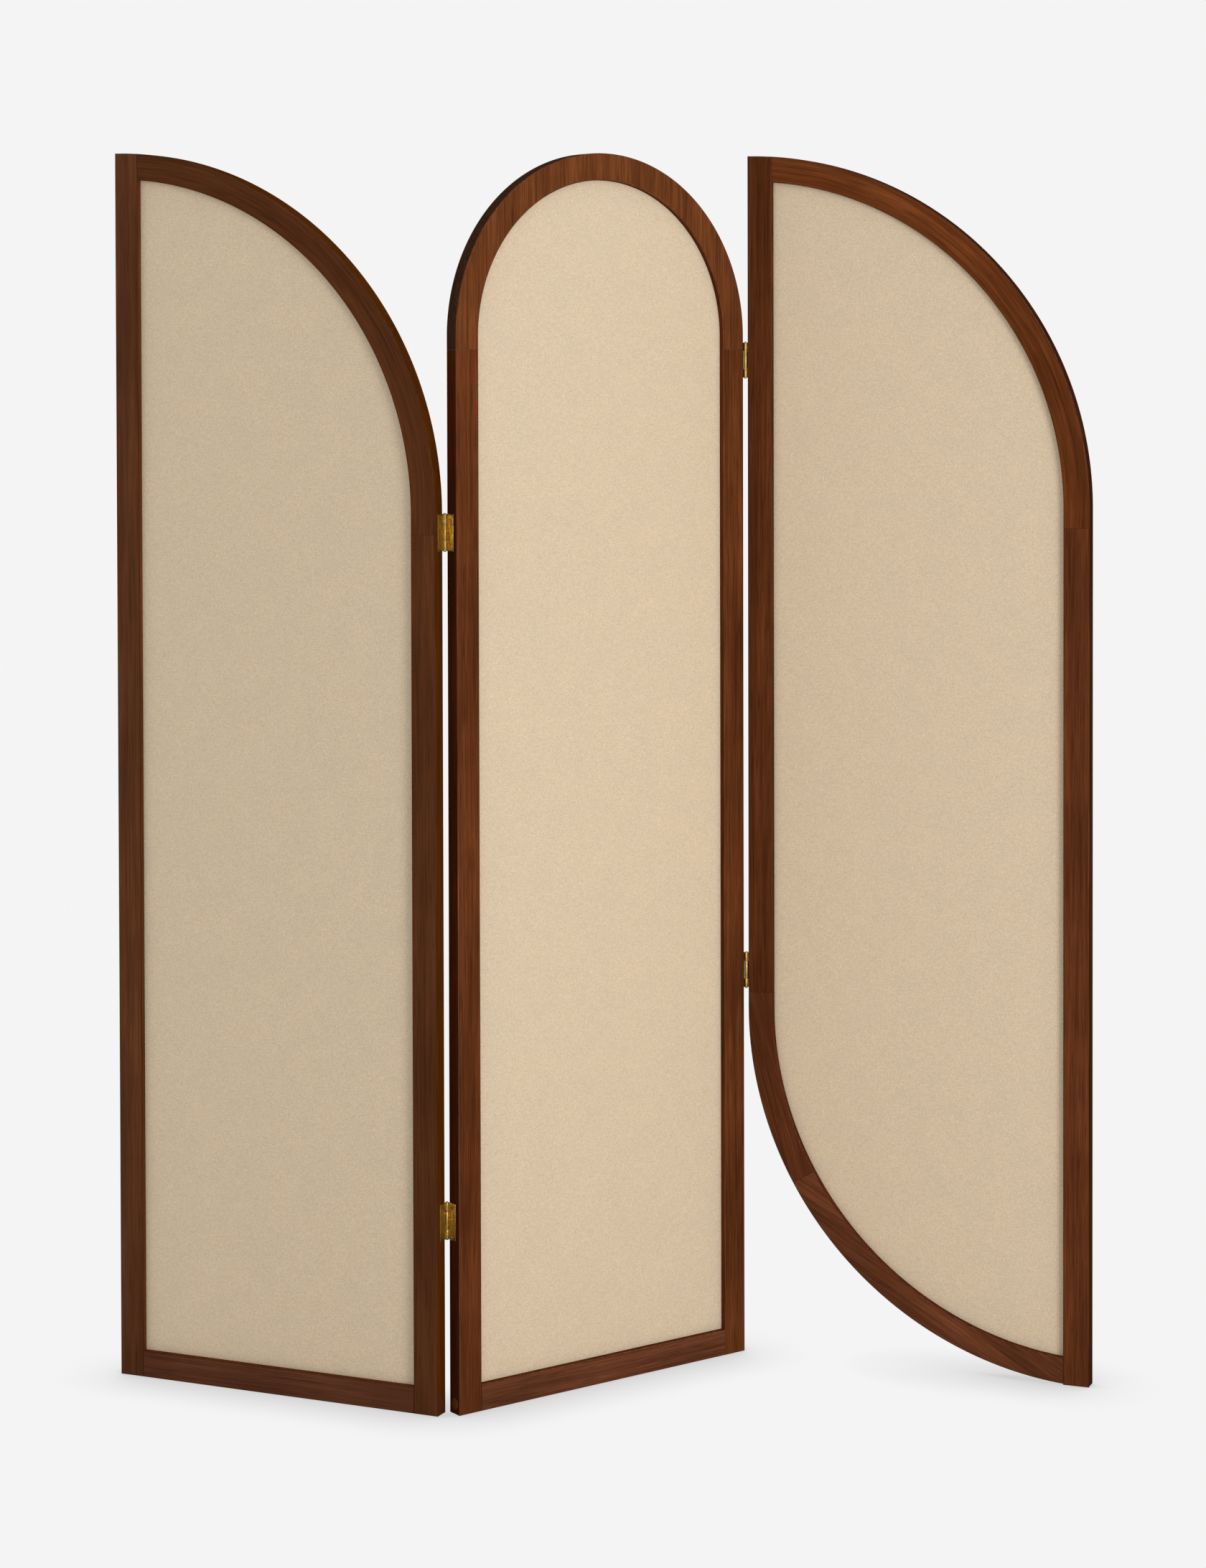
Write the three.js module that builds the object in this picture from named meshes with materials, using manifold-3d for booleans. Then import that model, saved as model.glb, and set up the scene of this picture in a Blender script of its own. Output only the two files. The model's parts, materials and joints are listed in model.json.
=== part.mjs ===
// A three-panel folding screen: walnut-stained frames round linen-covered boards, on brass butt hinges.
// The left panel has one quarter-round top corner, the middle one is a full arch, and the right one
// sweeps round at its top right and its bottom left. Millimetres, +Z up. The origin is the centre of
// the open screen's footprint on the floor; the front faces -Y.
import * as THREE from "three";
import { mergeVertices } from "three/addons/utils/BufferGeometryUtils.js";
import Module from "manifold-3d";

// ---- Driving dimensions ------------------------------------------------------------------------

const screenHeight = 1778;
const panelWidth = 515;
const memberWidth = 38; // face width of every stile and rail
const frameThickness = 24;
const arrisRadius = 1.5; // rounding of the frame's long edges

const middleYaw = 36.9; // degrees from the X axis, as the screen stands open
const leftFold = 60.4; // degrees that the left panel is folded from flat
const rightFold = 58.1; // degrees that the right panel is folded from flat

const curveTail = 28; // straight run of a curved rail below its springline, down to the stile
const archDrop = 4; // the arch stands this far lower than the other panels' tops
const archStretch = 1.02; // the arch's rise over its half width
const archTail = 19; // straight run below the arch, down to the stiles
const footTail = 22; // the same above the foot curve
const footSplice = 30; // degrees round the foot curve to the glued splice of its two lengths
const glueLine = 0.3;

const grooveDepth = 8;
const boardThickness = 4;
const linenThickness = 0.8;
const layerGap = 0.3; // between board, linen and groove
const boardEdgeGap = 1.5; // from the board's edge to the bottom of the groove

const stubWidth = 11; // rail tenons that sit in the stiles' grooves
const stubEndGap = 0.5;
const endTenonLength = 18; // tenons on the stiles' ends, into the curved rails
const endTenonThickness = 8;
const endTenonShoulder = 8; // from the frame's outer edge
const endTenonWall = 3; // wood left between the tenon and the groove
const tenonFit = 0.3;
const tenonRoot = 2; // how far a tenon is carried into its own member

const leafHeight = 52;
const leafWidth = 18.5; // from the pin's axis to the leaf's free edge
const leafThickness = 1.1;
const leafSeat = 0.2;
const knuckleRadius = 2.4;
const endKnuckle = 13; // length of each of the two end knuckles
const knuckleGap = 0.25;
const knuckleRelief = 0.5; // the leaf is cut back this far beside the other leaf's knuckle
const pinRadius = 1.2;
const pinClearance = 0.1;
const pinHeadRadius = 2.1;
const pinHeadHeight = 1.1;
const pinProud = 1.6; // the pin's axis stands this far beyond the panels' faces
const leftLowerHinge = 270.5; // height of the hinge's middle above the floor
const leftUpperHinge = 2.5; // above the joint of the left panel's curved rail and inner stile
const rightLowerHinge = 33; // above the joint of the right panel's inner stile and foot rail
const rightUpperHinge = -16; // from the joint of the middle panel's arched rail and stile

const hingeScrewInset = 6.75; // from the leaf's top and bottom
const hingeScrewRadius = 1.4;
const hingeScrewHeadRadius = 2.7;
const hingeScrewLength = 15;
const hingeScrewTip = 3;
const screwFit = 0.2;

const railScrewHeight = 14.5; // above the floor
const railScrewRadius = 2.2;
const railScrewHeadRadius = 4.5;
const railScrewLength = 58;
const railScrewTip = 5;
const plugRadius = 8;
const plugLength = 6;
const plugFit = 0.2;
const plugSink = 0.2; // the plug's face lies this far under the wood

const arcSteps = 12; // half the number of facets in a quarter circle
const roundSteps = 12; // facets round a screw or a plug
const knuckleSteps = 16; // facets round a knuckle or a pin

// ---- Worked out from them ----------------------------------------------------------------------

const cornerRadius = panelWidth; // each quarter round spans the whole panel
const archRadius = panelWidth / 2;
const archSpring = screenHeight - archDrop - archRadius * archStretch;
const midDepth = frameThickness / 2;
const grooveWidth = boardThickness + 2 * linenThickness + 4 * layerGap;
const grooveInset = memberWidth - grooveDepth; // from the frame's outside to the groove's bottom
const boardInset = grooveInset + boardEdgeGap;
const stubThickness = grooveWidth - 2 * tenonFit;
const edgeGap = knuckleRadius + leafSeat; // from a panel's edge to the pin's axis
const leafFaceX = leafThickness - knuckleRadius; // the leaf's outer face, from the pin's axis
const hingeScrewAcross = (leafWidth + pinProud) / 2; // from the pin's axis, mid-leaf on the wood
const cornerJoint = screenHeight - cornerRadius - curveTail;
const archJoint = archSpring - archTail;
const footJoint = cornerRadius + footTail;
const leftHingeHeights = [leftLowerHinge, cornerJoint + leftUpperHinge];
const rightHingeHeights = [footJoint + rightLowerHinge, archJoint + rightUpperHinge];
const far = screenHeight; // any length beyond the part, for blocks that cut right through

const walnutDark = { color: 0x4a2717, roughness: 0.5, metalness: 0 };
const walnutWarm = { color: 0x66351b, roughness: 0.48, metalness: 0 };
const walnutMid = { color: 0x573019, roughness: 0.5, metalness: 0 };
const hardboard = { color: 0x8a6a48, roughness: 0.9, metalness: 0 };
const linen = { color: 0xcbb795, roughness: 0.95, metalness: 0 };
const brass = { color: 0xb5924a, roughness: 0.35, metalness: 1 };
const steel = { color: 0x8d8f92, roughness: 0.4, metalness: 1 };

// ---- Solids ------------------------------------------------------------------------------------

const wasm = await Module();
wasm.setup();

// A closed geometry as a solid that can be cut and joined.
function solidOf(geometry) {
  geometry.deleteAttribute("normal");
  geometry.deleteAttribute("uv");
  const merged = mergeVertices(geometry, 1e-4);
  const corners = merged.index.array;
  const triangles = [];
  for (let i = 0; i < corners.length; i += 3) {
    const [a, b, c] = corners.slice(i, i + 3);
    if (a !== b && b !== c && c !== a) triangles.push(a, b, c);
  }
  return new wasm.Manifold(
    new wasm.Mesh({
      numProp: 3,
      vertProperties: merged.attributes.position.array,
      triVerts: new Uint32Array(triangles),
    }),
  );
}

function geometryOf(solid) {
  const mesh = solid.getMesh();
  const geometry = new THREE.BufferGeometry();
  geometry.setAttribute("position", new THREE.BufferAttribute(mesh.vertProperties, 3));
  geometry.setIndex(new THREE.BufferAttribute(mesh.triVerts, 1));
  geometry.computeVertexNormals();
  return geometry;
}

function block(x0, x1, y0, y1, z0, z1) {
  const box = new THREE.BoxGeometry(x1 - x0, y1 - y0, z1 - z0);
  return solidOf(box.translate((x0 + x1) / 2, (y0 + y1) / 2, (z0 + z1) / 2));
}

// A block through the whole thickness of the frame.
function through(x0, x1, z0, z1) {
  return block(x0, x1, -far, far, z0, z1);
}

// A flat shape drawn in a panel's width and height, given its thickness from the depth y0 to y1.
function slab(shape, y0, y1) {
  const flat = new THREE.ExtrudeGeometry(shape, {
    depth: y1 - y0,
    bevelEnabled: false,
    curveSegments: arcSteps,
  });
  return solidOf(flat.rotateX(Math.PI / 2).translate(0, y1, 0));
}

// A turned piece: radius and distance pairs, from its start to its end along +X.
function turned(profile, steps) {
  const points = profile.map(([radius, along]) => new THREE.Vector2(radius, along));
  return new THREE.LatheGeometry(points, steps).rotateZ(-Math.PI / 2);
}

// A round hole or rod along X at a depth and height, from x0 to x1.
function rod(radius, x0, x1, y, z, steps) {
  const profile = [
    [0, Math.min(x0, x1)],
    [radius, Math.min(x0, x1)],
    [radius, Math.max(x0, x1)],
    [0, Math.max(x0, x1)],
  ];
  return solidOf(turned(profile, steps).translate(0, y, z));
}

// ---- Panel outlines, each moved in from the outside by an inset ---------------------------------

// A rectangle whose top right corner is a quarter round.
function quarterOutline(inset) {
  const radius = cornerRadius - inset;
  const centreX = panelWidth - cornerRadius;
  const shape = new THREE.Shape();
  shape.moveTo(inset, inset);
  shape.lineTo(panelWidth - inset, inset);
  const end = Math.acos((inset - centreX) / radius);
  shape.absarc(centreX, screenHeight - cornerRadius, radius, 0, end, false);
  return shape;
}

// A rectangle under an arch that rises a little more than a half circle.
function archOutline(inset) {
  const radius = archRadius - inset;
  const rise = radius * archStretch;
  const crown = Math.PI / 2;
  const shape = new THREE.Shape();
  shape.moveTo(inset, inset);
  shape.lineTo(panelWidth - inset, inset);
  shape.absellipse(archRadius, archSpring, radius, rise, 0, crown, false, 0);
  shape.absellipse(archRadius, archSpring, radius, rise, crown, Math.PI, false, 0);
  return shape;
}

// Quarter rounds at the top right and the bottom left. The right stile runs down to the floor.
function sweepOutline(inset) {
  const radius = cornerRadius - inset;
  const right = panelWidth - inset;
  const stile = panelWidth - memberWidth;
  const centreX = panelWidth - cornerRadius;
  const footEnd = 2 * Math.PI - Math.acos((Math.min(right, stile) - cornerRadius) / radius);
  const shape = new THREE.Shape();
  shape.moveTo(inset, cornerRadius);
  shape.absarc(cornerRadius, cornerRadius, radius, Math.PI, footEnd, false);
  if (right > stile) {
    shape.lineTo(stile, inset);
    shape.lineTo(right, inset);
  }
  const end = Math.acos((inset - centreX) / radius);
  shape.absarc(centreX, screenHeight - cornerRadius, radius, 0, end, false);
  return shape;
}

// The whole frame of a panel in one piece, with rounded arrises and the groove for the board.
function frameRing(outline) {
  const shape = outline(0);
  shape.holes.push(outline(memberWidth));
  const ring = new THREE.ExtrudeGeometry(shape, {
    depth: frameThickness - 2 * arrisRadius,
    bevelThickness: arrisRadius,
    bevelSize: arrisRadius,
    bevelOffset: -arrisRadius,
    bevelSegments: 2,
    curveSegments: arcSteps,
  });
  ring.rotateX(Math.PI / 2).translate(0, frameThickness - arrisRadius, 0);
  const groove = slab(
    outline(grooveInset),
    midDepth - grooveWidth / 2,
    midDepth + grooveWidth / 2,
  );
  return solidOf(ring).subtract(groove);
}

// ---- Joints ------------------------------------------------------------------------------------

// A tenon and the socket that takes it, centred in the thickness of the frame.
function tenonJoint(x0, x1, z0, z1, thickness) {
  const half = thickness / 2;
  const loose = half + tenonFit;
  return {
    tenon: block(x0, x1, midDepth - half, midDepth + half, z0, z1),
    socket: block(
      x0 - tenonFit,
      x1 + tenonFit,
      midDepth - loose,
      midDepth + loose,
      z0 - tenonFit,
      z1 + tenonFit,
    ),
  };
}

// A rail's stub tenon, in the left or the right stile's groove, from the height z0 up.
function stubJoint(side, z0) {
  const root = memberWidth + tenonRoot;
  const tip = grooveInset + stubEndGap;
  const [x0, x1] = side === "left" ? [tip, root] : [panelWidth - root, panelWidth - tip];
  return tenonJoint(x0, x1, z0, z0 + stubWidth, stubThickness);
}

// The tenon on a stile's end, from the shoulder at height z towards the tip.
function endJoint(side, z, towards) {
  const inner = grooveInset - endTenonWall;
  const [x0, x1] =
    side === "left"
      ? [endTenonShoulder, inner]
      : [panelWidth - inner, panelWidth - endTenonShoulder];
  const ends = [z - towards * tenonRoot, z + towards * endTenonLength];
  return tenonJoint(x0, x1, Math.min(...ends), Math.max(...ends), endTenonThickness);
}

const floorStub = grooveInset - stubWidth; // stub tenons start here, measured from either end
const topStub = screenHeight - grooveInset;

// ---- Screws and plugs --------------------------------------------------------------------------

// A countersunk screw along X: its head's face at 0, its tip at the given length.
function countersunkScrew(radius, headRadius, length, tip) {
  const profile = [
    [0, 0],
    [headRadius, 0],
    [radius, headRadius - radius],
    [radius, length - tip],
    [0, length],
  ];
  return turned(profile, roundSteps);
}

// Where the screw through a stile's foot lies: its counterbore, its hole and the plug over its head.
const railScrewFace = plugLength + plugSink + plugFit; // depth of the screw head in the stile

function railScrewHoles(side) {
  const edge = side === "left" ? 0 : panelWidth;
  const inward = side === "left" ? 1 : -1;
  const bore = rod(
    plugRadius + plugFit,
    edge - inward,
    edge + inward * railScrewFace,
    midDepth,
    railScrewHeight,
    roundSteps,
  );
  const headDepth = railScrewHeadRadius - railScrewRadius;
  const sink = turned(
    [
      [0, -screwFit],
      [railScrewHeadRadius + screwFit, -screwFit],
      [railScrewHeadRadius + screwFit, 0],
      [railScrewRadius + screwFit, headDepth],
      [railScrewRadius + screwFit, railScrewLength + screwFit],
      [0, railScrewLength + screwFit],
    ],
    roundSteps,
  );
  if (side === "right") sink.rotateZ(Math.PI);
  sink.translate(edge + inward * railScrewFace, midDepth, railScrewHeight);
  return bore.add(solidOf(sink));
}

// ---- Hinges ------------------------------------------------------------------------------------
// A leaf is drawn round its pin's axis: the wood lies at -X and the leaf runs towards -Y.

const leafHalf = leafHeight / 2;
const hingeScrewHeights = [-1, 1].map((end) => end * (leafHalf - hingeScrewInset));
const endKnuckleStarts = [-leafHalf, leafHalf - endKnuckle];
const midKnuckle = leafHeight - 2 * (endKnuckle + knuckleGap);

// One knuckle with its bore and the strap that joins it to the leaf, from the height z up.
function knuckle(z, length) {
  const strap = knuckleRadius + knuckleRelief + leafThickness;
  const meets = Math.PI + Math.acos(-leafFaceX / knuckleRadius);
  const shape = new THREE.Shape();
  shape.moveTo(leafFaceX, -strap);
  shape.lineTo(-knuckleRadius, -strap);
  shape.absarc(0, 0, knuckleRadius, Math.PI, meets - 2 * Math.PI, true);
  const bore = new THREE.Path();
  bore.absarc(0, 0, pinRadius + pinClearance, 0, 2 * Math.PI, false);
  shape.holes.push(bore);
  const options = { depth: length, bevelEnabled: false, curveSegments: knuckleSteps / 2 };
  return solidOf(new THREE.ExtrudeGeometry(shape, options).translate(0, 0, z));
}

function hingeLeaf(knuckles) {
  let leaf = block(
    -knuckleRadius,
    leafFaceX,
    -leafWidth,
    -knuckleRadius - knuckleRelief,
    -leafHalf,
    leafHalf,
  );
  for (const [z, length] of knuckles) leaf = leaf.add(knuckle(z, length));
  for (const z of hingeScrewHeights) leaf = leaf.subtract(hingeScrewHole(z));
  return geometryOf(leaf);
}

// The countersunk hole in a leaf, wider than its screw all round.
function hingeScrewHole(z) {
  const cone = hingeScrewHeadRadius - hingeScrewRadius;
  const wide = hingeScrewRadius + screwFit;
  const profile = [
    [0, -leafThickness],
    [wide + cone + leafThickness, -leafThickness],
    [wide, cone],
    [wide, cone + leafThickness],
    [0, cone + leafThickness],
  ];
  const hole = turned(profile, roundSteps).rotateZ(Math.PI);
  return solidOf(hole.translate(leafFaceX, -hingeScrewAcross, z));
}

const endKnuckleLeaf = hingeLeaf(endKnuckleStarts.map((z) => [z, endKnuckle]));
const midKnuckleLeaf = hingeLeaf([[-midKnuckle / 2, midKnuckle]]);

// A riveted pin with a low dome at each end.
function hingePin() {
  const end = leafHalf + knuckleGap;
  const dome = [0.35, 0.7].map((turn) => [
    pinHeadRadius * Math.cos(turn * (Math.PI / 2)),
    pinHeadHeight * Math.sin(turn * (Math.PI / 2)),
  ]);
  const top = [
    [pinRadius, end],
    [pinHeadRadius, end],
    ...dome.map(([radius, rise]) => [radius, end + rise]),
    [0, end + pinHeadHeight],
  ];
  const bottom = top.map(([radius, z]) => [radius, -z]).reverse();
  const points = [...bottom, ...top].map(([radius, z]) => new THREE.Vector2(radius, z));
  return new THREE.LatheGeometry(points, knuckleSteps).rotateX(Math.PI / 2);
}

// ---- Assembly ----------------------------------------------------------------------------------

const screen = new THREE.Group();

function addMesh(group, name, geometry, finish) {
  const mesh = new THREE.Mesh(geometry, new THREE.MeshStandardMaterial(finish));
  mesh.name = name;
  group.add(mesh);
  return mesh;
}

// The board in its groove, with linen stretched over its front and its back.
function addInfill(group, panel, outline) {
  const shape = outline(boardInset);
  const half = boardThickness / 2;
  const board = slab(shape, midDepth - half, midDepth + half);
  const front = midDepth - half - layerGap;
  const back = midDepth + half + layerGap;
  addMesh(group, `${panel}_board`, geometryOf(board), hardboard);
  const frontLinen = slab(shape, front - linenThickness, front);
  const backLinen = slab(shape, back, back + linenThickness);
  addMesh(group, `${panel}_front_linen`, geometryOf(frontLinen), linen);
  addMesh(group, `${panel}_back_linen`, geometryOf(backLinen), linen);
}

// The long screw through a stile into the bottom rail, and the plug that hides it.
function addRailScrew(group, name, side, finish) {
  const edge = side === "left" ? 0 : panelWidth;
  const inward = side === "left" ? 1 : -1;
  const screw = countersunkScrew(
    railScrewRadius,
    railScrewHeadRadius,
    railScrewLength,
    railScrewTip,
  );
  const driven = addMesh(group, `${name}_rail_screw`, screw, steel);
  driven.position.set(edge + inward * railScrewFace, midDepth, railScrewHeight);
  if (side === "right") driven.rotation.z = Math.PI;
  const plug = rod(
    plugRadius,
    edge + inward * plugSink,
    edge + inward * (plugSink + plugLength),
    midDepth,
    railScrewHeight,
    roundSteps,
  );
  addMesh(group, `${name}_screw_plug`, geometryOf(plug), finish);
}

// The pilot holes that a hinge's screws have in the edge of a stile.
function pilotHoles(side, face, heights) {
  const edge = side === "left" ? 0 : panelWidth;
  const inward = side === "left" ? 1 : -1;
  const y = face === "back" ? backPinY - hingeScrewAcross : frontPinY + hingeScrewAcross;
  const holes = [];
  for (const height of heights)
    for (const z of hingeScrewHeights)
      holes.push(
        rod(
          hingeScrewRadius + screwFit,
          edge - inward,
          edge + inward * hingeScrewLength,
          y,
          height + z,
          roundSteps,
        ),
      );
  return holes;
}

function cut(member, holes) {
  return holes.reduce((left, hole) => left.subtract(hole), member);
}

const backPinY = frameThickness + pinProud;
const frontPinY = -pinProud;
const stileEdge = panelWidth - memberWidth; // where the right stile starts
const spliceCentre = new THREE.Vector2(cornerRadius, cornerRadius);

// Left panel: a full-height outer stile, and a curved rail that lands on the shorter inner stile.
function leftPanel() {
  const group = new THREE.Group();
  const ring = frameRing(quarterOutline);
  const topJoint = stubJoint("left", topStub);
  const footLeft = stubJoint("left", floorStub);
  const footRight = stubJoint("right", floorStub);
  const shoulder = endJoint("right", cornerJoint, 1);
  const outerStile = ring
    .intersect(through(-far, memberWidth, -far, far))
    .subtract(topJoint.socket)
    .subtract(footLeft.socket)
    .subtract(railScrewHoles("left"));
  const innerStile = ring
    .intersect(through(stileEdge, far, -far, cornerJoint))
    .add(shoulder.tenon)
    .subtract(footRight.socket)
    .subtract(railScrewHoles("right"));
  const curvedRail = ring
    .intersect(through(memberWidth + glueLine, far, cornerJoint + glueLine, far))
    .add(topJoint.tenon)
    .subtract(shoulder.socket);
  const bottomRail = ring
    .intersect(through(memberWidth + glueLine, stileEdge - glueLine, -far, 2 * memberWidth))
    .add(footLeft.tenon)
    .add(footRight.tenon)
    .subtract(railScrewHoles("left"))
    .subtract(railScrewHoles("right"));
  const drilled = cut(innerStile, pilotHoles("right", "back", leftHingeHeights));
  const drilledRail = cut(curvedRail, pilotHoles("right", "back", leftHingeHeights));
  addMesh(group, "left_outer_stile", geometryOf(outerStile), walnutDark);
  addMesh(group, "left_inner_stile", geometryOf(drilled), walnutDark);
  addMesh(group, "left_curved_rail", geometryOf(drilledRail), walnutDark);
  addMesh(group, "left_bottom_rail", geometryOf(bottomRail), walnutDark);
  addInfill(group, "left", quarterOutline);
  addRailScrew(group, "left_outer", "left", walnutDark);
  addRailScrew(group, "left_inner", "right", walnutDark);
  return group;
}

// Middle panel: one arched rail on two stiles.
function middlePanel() {
  const group = new THREE.Group();
  const ring = frameRing(archOutline);
  const footLeft = stubJoint("left", floorStub);
  const footRight = stubJoint("right", floorStub);
  const shoulderLeft = endJoint("left", archJoint, 1);
  const shoulderRight = endJoint("right", archJoint, 1);
  const leftStile = ring
    .intersect(through(-far, memberWidth, -far, archJoint))
    .add(shoulderLeft.tenon)
    .subtract(footLeft.socket)
    .subtract(railScrewHoles("left"));
  const rightStile = ring
    .intersect(through(stileEdge, far, -far, archJoint))
    .add(shoulderRight.tenon)
    .subtract(footRight.socket)
    .subtract(railScrewHoles("right"));
  const archRail = ring
    .intersect(through(-far, far, archJoint + glueLine, far))
    .subtract(shoulderLeft.socket)
    .subtract(shoulderRight.socket);
  const bottomRail = ring
    .intersect(through(memberWidth + glueLine, stileEdge - glueLine, -far, 2 * memberWidth))
    .add(footLeft.tenon)
    .add(footRight.tenon)
    .subtract(railScrewHoles("left"))
    .subtract(railScrewHoles("right"));
  const leftHoles = pilotHoles("left", "back", leftHingeHeights);
  const rightHoles = pilotHoles("right", "front", rightHingeHeights);
  addMesh(group, "middle_left_stile", geometryOf(cut(leftStile, leftHoles)), walnutWarm);
  addMesh(group, "middle_right_stile", geometryOf(cut(rightStile, rightHoles)), walnutWarm);
  addMesh(group, "middle_arch_rail", geometryOf(cut(archRail, rightHoles)), walnutWarm);
  addMesh(group, "middle_bottom_rail", geometryOf(bottomRail), walnutWarm);
  addInfill(group, "middle", archOutline);
  addRailScrew(group, "middle_left", "left", walnutWarm);
  addRailScrew(group, "middle_right", "right", walnutWarm);
  return group;
}

// Everything on the low side of the splice across the foot curve, moved round it by a distance.
function belowSplice(shift) {
  const reach = 2 * cornerRadius;
  const angle = Math.PI + THREE.MathUtils.degToRad(footSplice);
  const along = new THREE.Vector2(Math.cos(angle), Math.sin(angle));
  const across = new THREE.Vector2(-along.y, along.x);
  const start = spliceCentre.clone().addScaledVector(across, shift);
  const shape = new THREE.Shape([
    start,
    start.clone().addScaledVector(along, reach),
    start.clone().addScaledVector(along, reach).addScaledVector(across, reach),
    start.clone().addScaledVector(across, reach),
  ]);
  return slab(shape, -far, far);
}

// Right panel: the left stile hangs from the curved rail above and lands on the foot curve, which
// is glued up from two lengths and runs into the foot of the full outer stile.
function rightPanel() {
  const group = new THREE.Group();
  const ring = frameRing(sweepOutline);
  const topJoint = stubJoint("left", topStub);
  const footRight = stubJoint("right", floorStub);
  const shoulder = endJoint("right", cornerJoint, 1);
  const footShoulder = endJoint("left", footJoint, -1);
  const innerStile = ring
    .intersect(through(-far, memberWidth, footJoint, far))
    .add(footShoulder.tenon)
    .subtract(topJoint.socket);
  const outerStile = ring
    .intersect(through(stileEdge, far, -far, cornerJoint))
    .add(shoulder.tenon)
    .subtract(footRight.socket);
  const curvedRail = ring
    .intersect(through(memberWidth + glueLine, far, cornerJoint + glueLine, far))
    .add(topJoint.tenon)
    .subtract(shoulder.socket);
  const footCurve = ring
    .intersect(through(-far, stileEdge - glueLine, -far, footJoint - glueLine))
    .add(footRight.tenon)
    .subtract(footShoulder.socket);
  const footUpper = footCurve.subtract(belowSplice(-glueLine));
  const footLower = footCurve.intersect(belowSplice(0));
  const holes = pilotHoles("left", "front", rightHingeHeights);
  addMesh(group, "right_inner_stile", geometryOf(cut(innerStile, holes)), walnutMid);
  addMesh(group, "right_outer_stile", geometryOf(outerStile), walnutMid);
  addMesh(group, "right_curved_rail", geometryOf(curvedRail), walnutMid);
  addMesh(group, "right_foot_rail_upper", geometryOf(footUpper), walnutMid);
  addMesh(group, "right_foot_rail_lower", geometryOf(footLower), walnutMid);
  addInfill(group, "right", sweepOutline);
  return group;
}

// One leaf and its two screws, turned about the pin to face its own panel.
function addLeaf(panel, pinX, pinY, height, turn, name, leafName, leafGeometry, firstScrew) {
  const seat = new THREE.Group();
  seat.position.set(pinX, pinY, height);
  seat.rotation.set(turn.x, turn.y, turn.z);
  panel.add(seat);
  addMesh(seat, `${name}_${leafName}`, leafGeometry, brass);
  hingeScrewHeights.forEach((z, i) => {
    const screw = countersunkScrew(
      hingeScrewRadius,
      hingeScrewHeadRadius,
      hingeScrewLength,
      hingeScrewTip,
    ).rotateZ(Math.PI);
    const driven = addMesh(seat, `${name}_screw_${firstScrew + i}`, screw, brass);
    driven.position.set(leafFaceX, -hingeScrewAcross, z);
  });
}

// A butt hinge between two panels. The end knuckles and the pin go with the panel on the left.
function addHinge(name, leftGroup, rightGroup, pinY, height) {
  const atBack = pinY > midDepth;
  const leftTurn = { x: atBack ? 0 : Math.PI, y: 0, z: 0 };
  const rightTurn = atBack ? { x: 0, y: Math.PI, z: 0 } : { x: 0, y: 0, z: Math.PI };
  const leftX = panelWidth + edgeGap;
  const [endLeaf, midLeaf] = ["end_knuckle_leaf", "mid_knuckle_leaf"];
  addLeaf(leftGroup, leftX, pinY, height, leftTurn, name, endLeaf, endKnuckleLeaf, 1);
  addLeaf(rightGroup, -edgeGap, pinY, height, rightTurn, name, midLeaf, midKnuckleLeaf, 3);
  addMesh(leftGroup, `${name}_pin`, hingePin(), brass).position.set(leftX, pinY, height);
}

// Turns a panel's group by its yaw and sets its own pin axis on a pin axis in the screen.
function standAt(group, yaw, pin, target) {
  group.rotation.z = THREE.MathUtils.degToRad(yaw);
  const turnedPin = pin.clone().applyEuler(group.rotation);
  group.position.copy(target).sub(turnedPin);
  screen.add(group);
}

const left = leftPanel();
const middle = middlePanel();
const right = rightPanel();

["lower", "upper"].forEach((level, i) => {
  addHinge(`left_${level}_hinge`, left, middle, backPinY, leftHingeHeights[i]);
  addHinge(`right_${level}_hinge`, middle, right, frontPinY, rightHingeHeights[i]);
});

const backPinOfLeft = new THREE.Vector3(panelWidth + edgeGap, backPinY, 0);
const backPinOfMiddle = new THREE.Vector3(-edgeGap, backPinY, 0);
const frontPinOfMiddle = new THREE.Vector3(panelWidth + edgeGap, frontPinY, 0);
const frontPinOfRight = new THREE.Vector3(-edgeGap, frontPinY, 0);
const middleTurn = new THREE.Euler(0, 0, THREE.MathUtils.degToRad(middleYaw));

standAt(middle, middleYaw, new THREE.Vector3(), new THREE.Vector3());
const leftPin = backPinOfMiddle.applyEuler(middleTurn);
const rightPin = frontPinOfMiddle.applyEuler(middleTurn);
standAt(left, middleYaw - leftFold, backPinOfLeft, leftPin);
standAt(right, middleYaw - rightFold, frontPinOfRight, rightPin);

// The origin goes under the middle of the open screen.
const footprint = new THREE.Box3().setFromObject(screen, true);
const middleOf = footprint.getCenter(new THREE.Vector3());
for (const panel of screen.children) panel.position.sub(middleOf.setZ(0));

export default screen;
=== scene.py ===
"""A three-panel folding screen: walnut-stained frames round linen boards, on brass butt hinges.

Everything is in metres, +Z up, with the front facing -Y. A panel's own frame has x along its
width, y from its front to its back and z up; each piece is modelled there and then stood in place.
"""

import json
from math import cos, pi, radians, sin

import bmesh
import bpy
from mathutils import Matrix, Vector


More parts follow.
